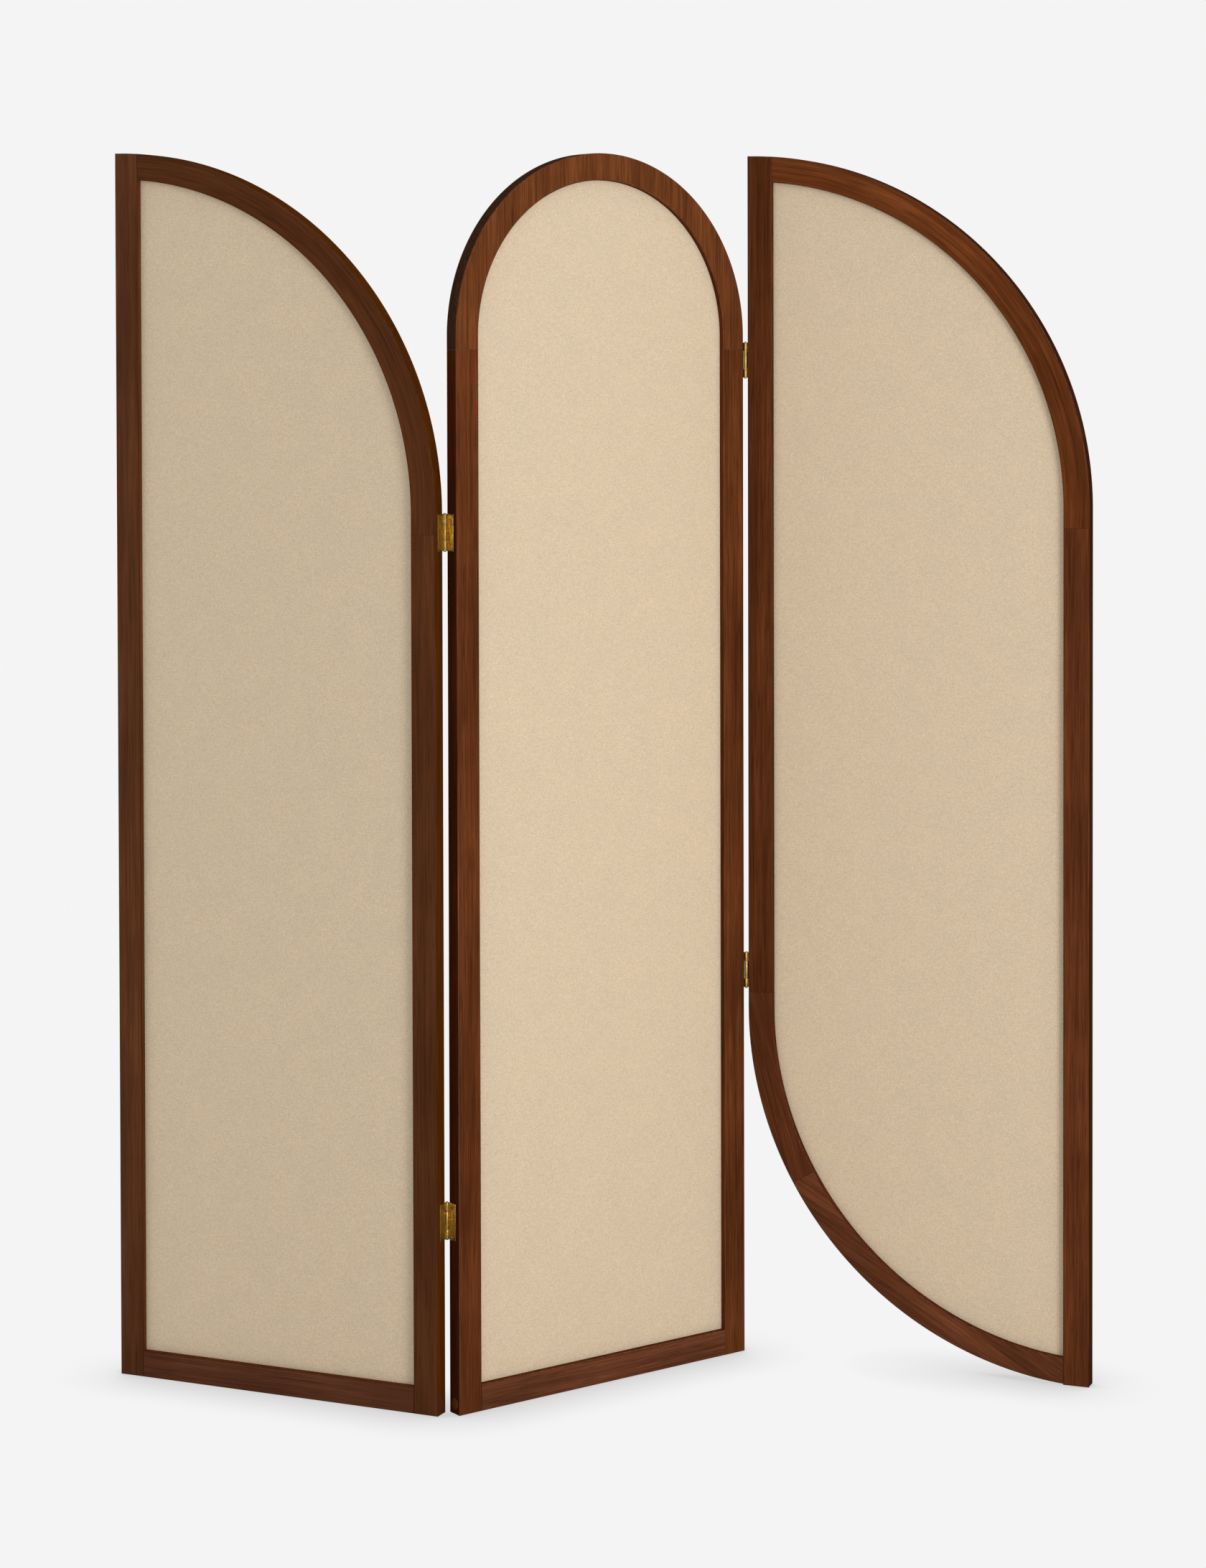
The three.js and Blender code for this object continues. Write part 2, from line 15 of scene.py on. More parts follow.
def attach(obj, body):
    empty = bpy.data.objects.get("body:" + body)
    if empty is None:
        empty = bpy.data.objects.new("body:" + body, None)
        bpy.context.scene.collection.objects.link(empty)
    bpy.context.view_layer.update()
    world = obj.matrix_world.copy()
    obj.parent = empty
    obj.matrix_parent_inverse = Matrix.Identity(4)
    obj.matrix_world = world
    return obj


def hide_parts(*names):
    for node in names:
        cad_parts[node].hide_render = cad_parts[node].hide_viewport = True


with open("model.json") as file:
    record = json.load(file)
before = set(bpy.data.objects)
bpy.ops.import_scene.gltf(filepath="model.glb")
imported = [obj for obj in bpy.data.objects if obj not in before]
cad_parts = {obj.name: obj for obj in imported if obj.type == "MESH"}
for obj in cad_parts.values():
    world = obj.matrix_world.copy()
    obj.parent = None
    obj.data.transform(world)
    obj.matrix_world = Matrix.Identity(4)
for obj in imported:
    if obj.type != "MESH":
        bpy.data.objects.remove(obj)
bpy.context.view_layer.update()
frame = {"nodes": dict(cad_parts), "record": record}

MM = 0.001

# ---- Sizes of the screen ------------------------------------------------------------------------

HEIGHT = 1778 * MM
WIDTH = 515 * MM  # of one panel
MEMBER = 38 * MM  # face width of a stile or rail
THICK = 24 * MM
ARRIS = 1.5 * MM  # rounding of the long edges
JOINT = 0.02 * MM  # glue line between two members, drawn closed
JOINT_EASE = 0.2 * MM  # the ends of the members are very slightly rounded over
FOOT_EASE = 1.2 * MM
GROOVE_DEPTH = 8 * MM
GROOVE_WIDTH = 6.8 * MM
CORNER = WIDTH  # radius of the quarter rounds
ARCH = WIDTH / 2
ARCH_DROP = 4 * MM  # its top is this far below the other panels' tops
ARCH_STRETCH = 1.02  # it rises a little more than a half circle
ARCH_TAIL = 19 * MM
TAIL = 28 * MM  # straight end of a curved rail below its springline
FOOT_TAIL = 22 * MM
SPLICE = radians(30)  # how far round the foot curve its two lengths meet
SHEET_INSET = 31.5 * MM  # the linen's edge lies in the grooves
SHEET = 0.8 * MM
BOARD = 4 * MM
LAYER_GAP = 0.3 * MM
PLUG = 8 * MM  # radius of the screw plugs
PLUG_LENGTH = 6 * MM
PLUG_SINK = 0.2 * MM  # a plug's face lies this far under the wood
PLUG_HEIGHT = 14.5 * MM
PLUG_BORE = PLUG + 0.25 * MM
PLUG_BORE_DEPTH = 6.5 * MM
HINGE_HALF = 26 * MM  # half the height of a hinge
HINGE_SCREW_INSET = 6.75 * MM  # from the ends of a leaf
LEAF_FACE = 1.3 * MM  # from the panel's edge to a leaf's open face
LEAF_NOTCH = 1.3 * MM  # from the panel's face to a leaf's edge beside the other leaf's knuckles
PIN_PROUD = 1.6 * MM  # from the panel's face out to a pin's axis
SCREW_ACROSS = 10.05 * MM  # from a pin's axis to a screw
SCREW_HEAD = 2.7 * MM  # radius
SCREW_RIM = 0.2 * MM  # straight edge of the head
SCREW_CONE = 1.2 * MM
SCREW_SHANK = 1.4 * MM  # radius
SCREW_SHANK_LENGTH = 10.6 * MM
SCREW_TIP = 3 * MM
SCREW_SLOT = (3.2 * MM, 0.7 * MM, 2 * MM)

SPRING = HEIGHT - CORNER
ARCH_SPRING = HEIGHT - ARCH_DROP - ARCH * ARCH_STRETCH
CORNER_JOINT = SPRING - TAIL
ARCH_JOINT = ARCH_SPRING - ARCH_TAIL
FOOT_JOINT = CORNER + FOOT_TAIL
STILE = WIDTH - MEMBER  # where a right-hand stile starts
MID = THICK / 2

# Each panel's front bottom left corner, and its turn about Z.
PANELS = {
    "left": (Vector((-704.5315, 37.3563, 0)) * MM, radians(-23.5)),
    "middle": (Vector((-202.2033, -164.4704, 0)) * MM, radians(36.9)),
    "right": (Vector((215.6768, 145.5791, 0)) * MM, radians(-21.2)),
}


# ---- Camera -------------------------------------------------------------------------------------

# Height, tilt and focal length follow the photograph's vanishing points. The horizon lies high in
# the frame, so the lens is shifted down and the camera hardly tilts. The focal length and the
# height of the optical axis are in pixels of a frame this high.
FRAME_HEIGHT = 2185
FOCAL_LENGTH = 4741.48
AXIS_HEIGHT = 588.07
camera_data = bpy.data.cameras.new("camera")
camera_data.sensor_width = 36
camera_data.lens = camera_data.sensor_width * FOCAL_LENGTH / FRAME_HEIGHT
camera_data.shift_y = (AXIS_HEIGHT - FRAME_HEIGHT / 2) / FRAME_HEIGHT
camera_data.clip_end = 100
camera = bpy.data.objects.new("camera", camera_data)
bpy.context.scene.collection.objects.link(camera)
camera.matrix_world = (
    Matrix.Translation((0.00624, -4.89702, 1.49237))
    @ Matrix.Rotation(0.000936, 4, "Z")
    @ Matrix.Rotation(pi / 2 - 0.021265, 4, "X")
    @ Matrix.Rotation(-0.002412, 4, "Z")
)
bpy.context.scene.camera = camera


# ---- Materials ----------------------------------------------------------------------------------


def colour(hex_value):
    """An sRGB hex value as linear red, green, blue and alpha."""
    parts = [int(hex_value[i : i + 2], 16) / 255 for i in (1, 3, 5)]
    return [p / 12.92 if p <= 0.04045 else ((p + 0.055) / 1.055) ** 2.4 for p in parts] + [1]


def add_node(tree, kind, settings, links=None):
    """One node: settings are its properties or its sockets' values, links feed its sockets."""
    made = tree.nodes.new(kind)
    for key, value in settings.items():
        if isinstance(key, str) and hasattr(made, key):
            setattr(made, key, value)
        else:
            made.inputs[key].default_value = value
    for key, source in (links or {}).items():
        tree.links.new(source, made.inputs[key])
    return made


def new_material(name):
    made = bpy.data.materials.new(name)
    made.use_nodes = True
    made.node_tree.nodes.clear()
    return made, made.node_tree


def shaded(hex_value, factor):
    """The colour made lighter or darker by a factor."""
    return [c * factor for c in colour(hex_value)[:3]] + [1]


def bent(tree, local, centre, length):
    """Where a point lies in a bent timber: how far along its curve, through it and across it."""
    x, z = centre
    away = add_node(
        tree, "ShaderNodeVectorMath", {"operation": "SUBTRACT", 1: (x, 0, z)}, {0: local}
    )
    parts = add_node(tree, "ShaderNodeSeparateXYZ", {}, {0: away.outputs[0]})
    turn = add_node(
        tree,
        "ShaderNodeMath",
        {"operation": "ARCTAN2"},
        {0: parts.outputs["Z"], 1: parts.outputs["X"]},
    )
    along = add_node(
        tree, "ShaderNodeMath", {"operation": "MULTIPLY", 1: length}, {0: turn.outputs[0]}
    )
    flat = add_node(
        tree, "ShaderNodeVectorMath", {"operation": "MULTIPLY", 1: (1, 0, 1)}, {0: away.outputs[0]}
    )
    across = add_node(tree, "ShaderNodeVectorMath", {"operation": "LENGTH"}, {0: flat.outputs[0]})
    joined = add_node(
        tree,
        "ShaderNodeCombineXYZ",
        {},
        {0: along.outputs[0], 1: parts.outputs["Y"], 2: across.outputs["Value"]},
    )
    return joined.outputs[0]


# How strongly the grain is marked: the left panel's timber is the plainest.
FIGURE = {"left": 0.6, "middle": 0.88, "right": 0.82}


def walnut(name, tone, panel, grain, seed, bend=None):
    """Walnut-stained timber, planed, sanded and rubbed out under a thin dead-flat finish.

    The stain gathers in the long grain as soft streaks a few millimetres wide, with short darker
    pores between them, and no shine is left. Grain is the angle in degrees that the fibres rise
    from the panel's width; in a rail bent round a centre they follow its curve instead."""
    origin, yaw = PANELS[panel]
    figure = FIGURE[panel]

    def toned(share):
        return shaded(tone, 1 + share * figure)

    made, tree = new_material(name)
    place = add_node(tree, "ShaderNodeTexCoord", {})
    fibres = add_node(
        tree,
        "ShaderNodeMapping",
        {
            "vector_type": "TEXTURE",
            "Location": origin,
            "Rotation": (0, 0 if bend else -radians(grain), yaw),
        },
        {"Vector": place.outputs["Object"]},
    )
    lie = bent(tree, fibres.outputs[0], bend, CORNER) if bend else fibres.outputs[0]
    shifted = add_node(
        tree,
        "ShaderNodeVectorMath",
        {"operation": "ADD", 1: (seed * 1.7, seed * 0.83, seed * 0.31)},
        {0: lie},
    )
    # Growth rings cut lengthwise: bands about 14 mm wide and half a metre long.
    ring_place = add_node(
        tree, "ShaderNodeMapping", {"Scale": (2, 70, 70)}, {"Vector": shifted.outputs[0]}
    )
    rings = add_node(
        tree,
        "ShaderNodeTexNoise",
        {"Scale": 1, "Detail": 3, "Roughness": 0.55, "Distortion": 0.6},
        {"Vector": ring_place.outputs[0]},
    )
    ring_share = add_node(
        tree,
        "ShaderNodeMapRange",
        {"From Min": 0.32, "From Max": 0.68},
        {"Value": rings.outputs[0]},
    )
    # Fibre streaks about 3 mm wide and 150 mm long, a little coarser than real ones so they show.
    streak_place = add_node(
        tree, "ShaderNodeMapping", {"Scale": (6, 320, 320)}, {"Vector": shifted.outputs[0]}
    )
    streaks = add_node(
        tree,
        "ShaderNodeTexNoise",
        {"Scale": 1, "Detail": 3, "Roughness": 0.65, "Distortion": 0.15},
        {"Vector": streak_place.outputs[0]},
    )
    streak_share = add_node(
        tree,
        "ShaderNodeMapRange",
        {"From Min": 0.3, "From Max": 0.7},
        {"Value": streaks.outputs[0]},
    )
    # Pores about 1.1 mm wide and 50 mm long, coarser than real ones so that they show.
    pore_place = add_node(
        tree, "ShaderNodeMapping", {"Scale": (20, 900, 900)}, {"Vector": shifted.outputs[0]}
    )
    pores = add_node(
        tree,
        "ShaderNodeTexNoise",
        {"Scale": 1, "Detail": 2, "Roughness": 0.5},
        {"Vector": pore_place.outputs[0]},
    )
    pore_share = add_node(
        tree,
        "ShaderNodeMapRange",
        {"From Min": 0.5, "From Max": 0.7, "To Max": 0.75 * figure},
        {"Value": pores.outputs[0]},
    )
    # Uneven take-up of the stain: patches about two hands long that run with the grain.
    cloud_place = add_node(
        tree, "ShaderNodeMapping", {"Scale": (5, 16, 16)}, {"Vector": shifted.outputs[0]}
    )
    cloud = add_node(
        tree,
        "ShaderNodeTexNoise",
        {"Scale": 1, "Detail": 3, "Roughness": 0.5},
        {"Vector": cloud_place.outputs[0]},
    )
    take_up = add_node(
        tree,
        "ShaderNodeMapRange",
        {
            "From Min": 0.3,
            "From Max": 0.7,
            "To Min": 1 - 0.28 * figure,
            "To Max": 1 + 0.28 * figure,
        },
        {"Value": cloud.outputs[0]},
    )
    body = add_node(
        tree,
        "ShaderNodeMix",
        {"data_type": "RGBA", 6: toned(-0.48), 7: toned(0.68)},
        {0: ring_share.outputs[0]},
    )
    grained = add_node(
        tree,
        "ShaderNodeMix",
        {"data_type": "RGBA", 6: toned(-0.58), 7: toned(0.78)},
        {0: streak_share.outputs[0]},
    )
    timber = add_node(
        tree,
        "ShaderNodeMix",
        {"data_type": "RGBA", 0: 0.6},
        {6: body.outputs[2], 7: grained.outputs[2]},
    )
    clouded = add_node(
        tree,
        "ShaderNodeVectorMath",
        {"operation": "SCALE"},
        {0: timber.outputs[2], 3: take_up.outputs[0]},
    )
    pored = add_node(
        tree,
        "ShaderNodeMix",
        {"data_type": "RGBA", 7: shaded(tone, 0.3)},
        {0: pore_share.outputs[0], 6: clouded.outputs[0]},
    )
    relief = add_node(
        tree,
        "ShaderNodeBump",
        {"Strength": 0.3, "Distance": 0.12 * MM},
        {"Height": pores.outputs[0]},
    )
    surface = add_node(
        tree,
        "ShaderNodeBsdfPrincipled",
        {"Roughness": 0.6, "Specular IOR Level": 0},
        {"Base Color": pored.outputs[2], "Normal": relief.outputs[0]},
    )
    add_node(tree, "ShaderNodeOutputMaterial", {}, {"Surface": surface.outputs[0]})
    return made


def linen(name, panel, seed):
    """Oatmeal linen in a close plain weave, undyed.

    Each crossing of its threads catches the light a little differently, which gives a fine grain.
    The weft swells along its length, which shows as faint level dashes. The flax is matt, slightly
    warmer in some hanks than in others, and has a few dark flecks of husk."""
    origin, yaw = PANELS[panel]
    made, tree = new_material(name)
    place = add_node(tree, "ShaderNodeTexCoord", {})
    cloth = add_node(
        tree,
        "ShaderNodeMapping",
        {"vector_type": "TEXTURE", "Location": origin, "Rotation": (0, 0, yaw)},
        {"Vector": place.outputs["Object"]},
    )
    shifted = add_node(
        tree,
        "ShaderNodeVectorMath",
        {"operation": "ADD", 1: (seed * 1.3, 0, seed * 0.9)},
        {0: cloth.outputs[0]},
    )
    # Upright and cross threads, drawn 1.5 mm wide instead of 0.8 so that they show.
    warp_place = add_node(
        tree, "ShaderNodeMapping", {"Scale": (670, 1, 130)}, {"Vector": shifted.outputs[0]}
    )
    warp = add_node(
        tree,
        "ShaderNodeTexNoise",
        {"Scale": 1, "Detail": 2, "Roughness": 0.5},
        {"Vector": warp_place.outputs[0]},
    )
    weft_place = add_node(
        tree, "ShaderNodeMapping", {"Scale": (70, 1, 670)}, {"Vector": shifted.outputs[0]}
    )
    weft = add_node(
        tree,
        "ShaderNodeTexNoise",
        {"Scale": 1, "Detail": 2, "Roughness": 0.5},
        {"Vector": weft_place.outputs[0]},
    )
    # The crossings, drawn 1.7 mm apart for the same reason.
    crossings = add_node(
        tree,
        "ShaderNodeTexNoise",
        {"Scale": 600, "Detail": 1, "Roughness": 0.5},
        {"Vector": shifted.outputs[0]},
    )
    threads = add_node(
        tree,
        "ShaderNodeMath",
        {"operation": "ADD"},
        {0: warp.outputs[0], 1: weft.outputs[0]},
    )
    both = add_node(
        tree,
        "ShaderNodeMath",
        {"operation": "MULTIPLY_ADD", 1: 0.35},
        {0: threads.outputs[0], 2: crossings.outputs[0]},
    )
    thread_share = add_node(
        tree,
        "ShaderNodeMapRange",
        {"From Min": 0.5, "From Max": 1.2},
        {"Value": both.outputs[0]},
    )
    # Hanks of warmer and greyer yarn, in patches some 40 mm across.
    hank = add_node(
        tree,
        "ShaderNodeTexNoise",
        {"Scale": 24, "Detail": 4, "Roughness": 0.6},
        {"Vector": shifted.outputs[0]},
    )
    hank_share = add_node(
        tree,
        "ShaderNodeMapRange",
        {"From Min": 0.35, "From Max": 0.65},
        {"Value": hank.outputs[0]},
    )
    # Dark flecks of husk left in the yarn, 1 to 2 mm across.
    fleck = add_node(
        tree,
        "ShaderNodeTexNoise",
        {"Scale": 450, "Detail": 1, "Roughness": 0.5},
        {"Vector": shifted.outputs[0]},
    )
    fleck_share = add_node(
        tree,
        "ShaderNodeMapRange",
        {"From Min": 0.72, "From Max": 0.8, "To Max": 0.6},
        {"Value": fleck.outputs[0]},
    )
    warm = add_node(
        tree,
        "ShaderNodeMix",
        {"data_type": "RGBA", 6: colour("#c9b294"), 7: colour("#e4d1b5")},
        {0: thread_share.outputs[0]},
    )
    grey = add_node(
        tree,
        "ShaderNodeMix",
        {"data_type": "RGBA", 6: colour("#c6b194"), 7: colour("#e0ceb4")},
        {0: thread_share.outputs[0]},
    )
    yarn = add_node(
        tree,
        "ShaderNodeMix",
        {"data_type": "RGBA"},
        {0: hank_share.outputs[0], 6: warm.outputs[2], 7: grey.outputs[2]},
    )
    flecked = add_node(
        tree,
        "ShaderNodeMix",
        {"data_type": "RGBA", 7: colour("#8a6f4c")},
        {0: fleck_share.outputs[0], 6: yarn.outputs[2]},
    )
    relief = add_node(
        tree,
        "ShaderNodeBump",
        {"Strength": 0.2, "Distance": 0.2 * MM},
        {"Height": both.outputs[0]},
    )
    surface = add_node(
        tree,
        "ShaderNodeBsdfPrincipled",
        {"Roughness": 0.92, "IOR": 1.45, "Specular IOR Level": 0.15, "Sheen Weight": 0.06},
        {"Base Color": flecked.outputs[2], "Normal": relief.outputs[0]},
    )
    add_node(tree, "ShaderNodeOutputMaterial", {}, {"Surface": surface.outputs[0]})
    return made


def metal(name, base, shade, roughness, scale):
    """Drawn or rolled metal, brushed by handling: small soft changes of colour and shine."""
    made, tree = new_material(name)
    place = add_node(tree, "ShaderNodeTexCoord", {})
    handled = add_node(
        tree,
        "ShaderNodeTexNoise",
        {"Scale": scale, "Detail": 4, "Roughness": 0.6},
        {"Vector": place.outputs["Object"]},
    )
    share = add_node(
        tree,
        "ShaderNodeMapRange",
        {"From Min": 0.35, "From Max": 0.7},
        {"Value": handled.outputs[0]},
    )
    tint = add_node(
        tree,
        "ShaderNodeMix",
        {"data_type": "RGBA", 6: colour(base), 7: colour(shade)},
        {0: share.outputs[0]},
    )
    shine = add_node(
        tree,
        "ShaderNodeMapRange",
        {"To Min": roughness - 0.06, "To Max": roughness + 0.1},
        {"Value": handled.outputs[0]},
    )
    surface = add_node(
        tree,
        "ShaderNodeBsdfPrincipled",
        {"Metallic": 1},
        {"Base Color": tint.outputs[2], "Roughness": shine.outputs[0]},
    )
    add_node(tree, "ShaderNodeOutputMaterial", {}, {"Surface": surface.outputs[0]})
    return made


def hardboard():
    """Pressed wood-fibre board, raw: matt and mottled with fibres."""
    made, tree = new_material("raw hardboard")
    place = add_node(tree, "ShaderNodeTexCoord", {})
    mottle = add_node(
        tree,
        "ShaderNodeTexNoise",
        {"Scale": 260, "Detail": 5, "Roughness": 0.7},
        {"Vector": place.outputs["Object"]},
    )
    tint = add_node(
        tree,
        "ShaderNodeMix",
        {"data_type": "RGBA", 6: colour("#7a5a3b"), 7: colour("#9b7a55")},
        {0: mottle.outputs[0]},
    )
    surface = add_node(
        tree,
        "ShaderNodeBsdfPrincipled",
        {"Roughness": 0.9},
        {"Base Color": tint.outputs[2]},
    )
    add_node(tree, "ShaderNodeOutputMaterial", {}, {"Surface": surface.outputs[0]})
    return made


BRASS = metal("satin brass", "#c9a85c", "#8f7436", 0.35, 300)
STEEL = metal("zinc-plated steel", "#a9abae", "#85878a", 0.35, 400)
HARDBOARD = hardboard()

# The stain on each member's timber, which took it a little differently.
STAINS = {
    "left_outer_stile": "#5a3520",
    "left_inner_stile": "#54301b",
    "left_curved_rail": "#532f1a",
    "left_bottom_rail": "#5a3524",
    "middle_left_stile": "#5b3018",
    "middle_right_stile": "#5b3118",
    "middle_arch_rail": "#65381d",
    "middle_bottom_rail": "#623925",
    "right_inner_stile": "#572e17",
    "right_outer_stile": "#5d321b",
    "right_curved_rail": "#613318",
    "right_foot_rail_upper": "#542d19",
    "right_foot_rail_lower": "#5f3621",
}
# Each panel's tones for its edges, in the order of EDGES. The rounded arrises carry painted
# light: a greyish painted highlight on the middle and right panels, painted shade on the left.
# The outer edges carry painted shade. In the joints the stain gathered, and the inner edges round
# the linen have tones of their own.
EDGE_TONES_WITH_PAINTED_LIGHT = {
    "left": ["#4e2b15", "#512909", "#462714", "#5f341c"],
    "middle": ["#633825", "#431c07", "#4f2912", "#532c15"],
    "right": ["#583020", "#391e10", "#4f2b16", "#532a13"],
}
# The arch's outer edge has a painted shade of its own, greyer than the middle panel's other edges.
ARCH_OUTER_PAINTED_SHADE = "#3e271a"


# ---- Modelling helpers --------------------------------------------------------------------------

CLOSE = 0.01 * MM  # points nearer than this count as level with each other
WELD = 0.001 * MM  # points nearer than this are made one


def begin(name):
    """Names the primitive just added, applies its size and place, and opens it for editing."""
    made = bpy.context.object
    made.name = name
    bpy.ops.object.transform_apply(location=True, rotation=True, scale=True)
    bpy.ops.object.mode_set(mode="EDIT")
    return made


def close():
    bpy.ops.mesh.select_all(action="SELECT")
    bpy.ops.mesh.remove_doubles(threshold=WELD)
    bpy.ops.mesh.normals_make_consistent(inside=False)
    bpy.ops.object.mode_set(mode="OBJECT")


def pick(made, kind, test):
    """Selects the vertices, edges or faces that pass the test, and nothing else."""
    modes = {"verts": "VERT", "edges": "EDGE", "faces": "FACE"}
    bpy.ops.mesh.select_mode(type=modes[kind])
    bpy.ops.mesh.select_all(action="DESELECT")
    shape = bmesh.from_edit_mesh(made.data)
    for item in getattr(shape, kind):
        if test(item):
            item.select_set(True)
    shape.select_flush_mode()
    bmesh.update_edit_mesh(made.data)


def trim(co, no):
    """Cuts off what lies beyond a plane, on the side that its normal points to."""
    bpy.ops.mesh.select_mode(type="VERT")
    bpy.ops.mesh.select_all(action="SELECT")
    bpy.ops.mesh.bisect(
        plane_co=co,
        plane_no=Vector(no).normalized(),
        use_fill=True,
        clear_outer=True,
        threshold=WELD,
    )


def score(co, no):
    """Cuts a line all round, and takes nothing off."""
    bpy.ops.mesh.select_mode(type="VERT")
    bpy.ops.mesh.select_all(action="SELECT")
    bpy.ops.mesh.bisect(plane_co=co, plane_no=no)


def on_plane(co, no):
    """A test for edges that lie in a plane."""
    co, no = Vector(co), Vector(no).normalized()
    return lambda edge: all(abs((v.co - co).dot(no)) < 2 * CLOSE for v in edge.verts)


def facing(axis, at):
    """A test for faces square to x (0) or z (2) at a place along it, give or take eased ends."""
    return lambda f: abs(f.normal[axis]) > 0.99 and abs(f.calc_center_median()[axis] - at) < MM


# The finishes that a frame member carries, in the order of its slots. The arris finish carries
# painted light and the outer-edge finish carries painted shade.
FINISHES = range(5)
FACE, ARRIS_PAINTED_LIGHT, OUTER_PAINTED_SHADE, JOINTS, INNER = FINISHES
AS_IT_WAS = -1


def ease(made, test, width, segments, finish=AS_IT_WAS):
    """Rounds or chamfers the edges that pass the test."""
    pick(made, "edges", test)
    bpy.ops.mesh.bevel(
        offset=width, offset_type="OFFSET", segments=segments, profile=0.5, material=finish
    )


def paint(made, finish, test):
    """Gives the faces that pass the test another of the piece's finishes."""
    pick(made, "faces", test)
    made.active_material_index = finish
    bpy.ops.object.material_slot_assign()


def begin_member(name):
    """Opens the primitive just added as a frame member, with a slot for each finish."""
    for _ in FINISHES:
        bpy.context.object.data.materials.append(None)
    return begin(name)


def bar(name, low, high):
    """A square-edged length of timber between two corners, open for editing."""
    low, high = Vector(low), Vector(high)
    bpy.ops.object.select_all(action="DESELECT")
    bpy.ops.mesh.primitive_cube_add(size=1, location=(low + high) / 2, scale=high - low)
    return begin_member(name)


def on_face(edge):
    """An edge that lies in the panel's front or back face."""
    a, b = (v.co.y for v in edge.verts)
    return abs(a - b) < CLOSE and (abs(a) < CLOSE or abs(a - THICK) < CLOSE)


def ease_ends(made, joints):
    """Rounds a member's ends over very slightly, where it meets its neighbours."""
    for co, no in joints:
        ease(made, on_plane(co, no), JOINT_EASE, 1, JOINTS)


def round_arrises(made, joints):
    """Rounds the edges along the front and back faces, and eases those at the joints."""
    ends = [on_plane(co, no) for co, no in joints]
    # The rounded arrises take the finish with painted light on it.
    ease(made, lambda e: on_face(e) and not any(end(e) for end in ends), ARRIS, 4, ARRIS_PAINTED_LIGHT)
    ease_ends(made, joints)


def plough(made, test, inwards):
    """Cuts the groove for the board into the inner edge."""
    for y in (MID - GROOVE_WIDTH / 2, MID + GROOVE_WIDTH / 2):
        score((0, y, 0), (0, 1, 0))
    pick(
        made,
        "faces",
        lambda f: test(f) and abs(f.calc_center_median().y - MID) < GROOVE_WIDTH / 2,
    )
    bpy.ops.mesh.extrude_region_move(TRANSFORM_OT_translate={"value": inwards})


QUARTER_STEPS = 72  # facets round a quarter circle


def curved_bar(name, radius, sweep, tail, turn, centre):
    """A bent length of timber with its groove ploughed: a section swept round, with a straight
    tail from its first end. It sweeps up from the +X side, and turn then swings it about its
    centre."""
    outer, inner = radius, radius - MEMBER
    bpy.ops.object.select_all(action="DESELECT")
    bpy.ops.mesh.primitive_plane_add(size=1, location=((outer + inner) / 2, MID, 0))
    bpy.context.object.scale = (MEMBER, THICK, 1)
    made = begin_member(name)
    bpy.ops.mesh.select_mode(type="VERT")
    bpy.ops.mesh.select_all(action="SELECT")
    bpy.ops.mesh.bevel(offset=ARRIS, segments=4, affect="VERTICES")
    groove = inner + GROOVE_DEPTH
    score((groove, 0, 0), (1, 0, 0))
    for y in (MID - GROOVE_WIDTH / 2, MID + GROOVE_WIDTH / 2):
        score((0, y, 0), (0, 1, 0))

    def in_groove(face):
        at = face.calc_center_median()
        return at.x < groove and abs(at.y - MID) < GROOVE_WIDTH / 2

    pick(made, "faces", in_groove)
    bpy.ops.mesh.delete(type="FACE")
    bpy.ops.mesh.select_all(action="SELECT")
    steps = round(QUARTER_STEPS * sweep / (pi / 2))
    bpy.ops.mesh.spin(steps=steps, angle=sweep, center=(0, 0, 0), axis=(0, 1, 0))
    bpy.ops.mesh.select_all(action="SELECT")
    bpy.ops.mesh.remove_doubles(threshold=WELD)
    bpy.ops.mesh.normals_make_consistent(inside=False)
    pick(made, "faces", lambda f: abs(f.calc_center_median().z) < CLOSE and f.normal.z < -0.9)
    bpy.ops.mesh.extrude_region_move(TRANSFORM_OT_translate={"value": (0, 0, -tail)})
    bpy.ops.object.mode_set(mode="OBJECT")
    made.rotation_euler = (0, turn, 0)
    made.location = centre
    bpy.ops.object.transform_apply(location=True, rotation=True, scale=True)
    bpy.ops.object.mode_set(mode="EDIT")
    return made


def finish_curve(made, radius, centre, rises):
    """Finishes a curved rail's arrises with painted light, its outer edge with painted shade,
    and its inner edge.
    """

    def depth(face):
        y = face.calc_center_median().y
        return min(y, THICK - y)

    def reach(face):
        at = face.calc_center_median() - Vector(centre)
        return Vector((at.x, max(at.z if rises else -at.z, 0))).length

    slack = 0.3 * MM  # a facet's middle lies inside the curve
    # Painted light on the arrises, painted shade on the outer edge.
    paint(made, ARRIS_PAINTED_LIGHT, lambda f: CLOSE < depth(f) < ARRIS)
    paint(made, OUTER_PAINTED_SHADE, lambda f: depth(f) > ARRIS and reach(f) > radius - slack)
    paint(made, INNER, lambda f: depth(f) > ARRIS and reach(f) < radius - MEMBER + slack)


def stand(made, panel):
    """Stands a piece that was modelled in its panel's frame where that panel is."""
    origin, yaw = PANELS[panel]
    bpy.ops.object.select_all(action="DESELECT")
    made.select_set(True)
    bpy.context.view_layer.objects.active = made
    made.rotation_euler = (0, 0, yaw)
    made.location = origin
    bpy.ops.object.transform_apply(location=True, rotation=True, scale=True)


def smooth(made, degrees=35):
    bpy.ops.object.select_all(action="DESELECT")
    made.select_set(True)
    bpy.context.view_layer.objects.active = made
    bpy.ops.object.shade_smooth_by_angle(angle=radians(degrees))


